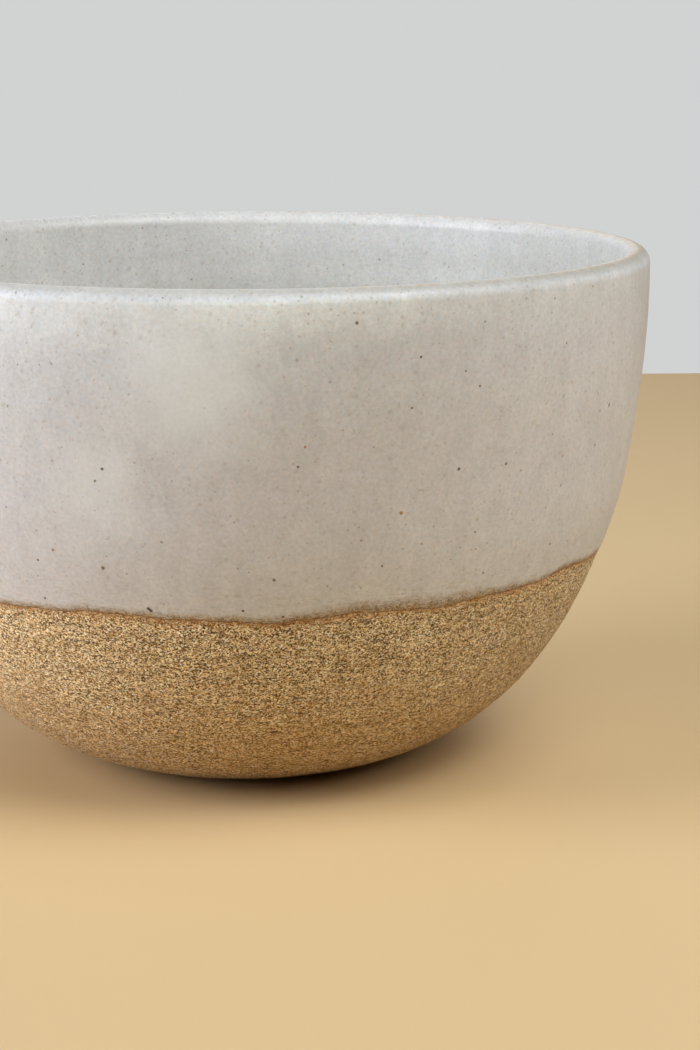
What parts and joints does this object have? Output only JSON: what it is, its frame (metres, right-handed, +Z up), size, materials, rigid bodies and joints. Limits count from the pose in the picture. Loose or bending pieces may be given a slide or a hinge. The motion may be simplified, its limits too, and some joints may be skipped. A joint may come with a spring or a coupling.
{
  "type": "prep bowl",
  "caption": "Deep round-sided stoneware prep bowl with a rounded lip, glazed inside and dipped outside to a line above a bare clay base.",
  "frame": {"origin": "centre of the flat foot that the bowl stands on, on the bowl's axis", "axes": "+Z up along the bowl's axis; +X to the right and +Y away from the viewer in the picture's view"},
  "size_m": [0.15, 0.15, 0.095],
  "materials": {
    "bare_clay": "gritty unglazed sandy stoneware, matt",
    "liner_glaze": "satin off-white glaze with fine iron specks",
    "dipped_glaze": "satin off-white glaze with iron specks, rusty where it thins at the lip and the dip line"
  },
  "bodies": {
    "root": {"clay_body": "bare_clay", "inside_glaze": "liner_glaze", "outside_glaze": "dipped_glaze"}
  },
  "joints": []
}
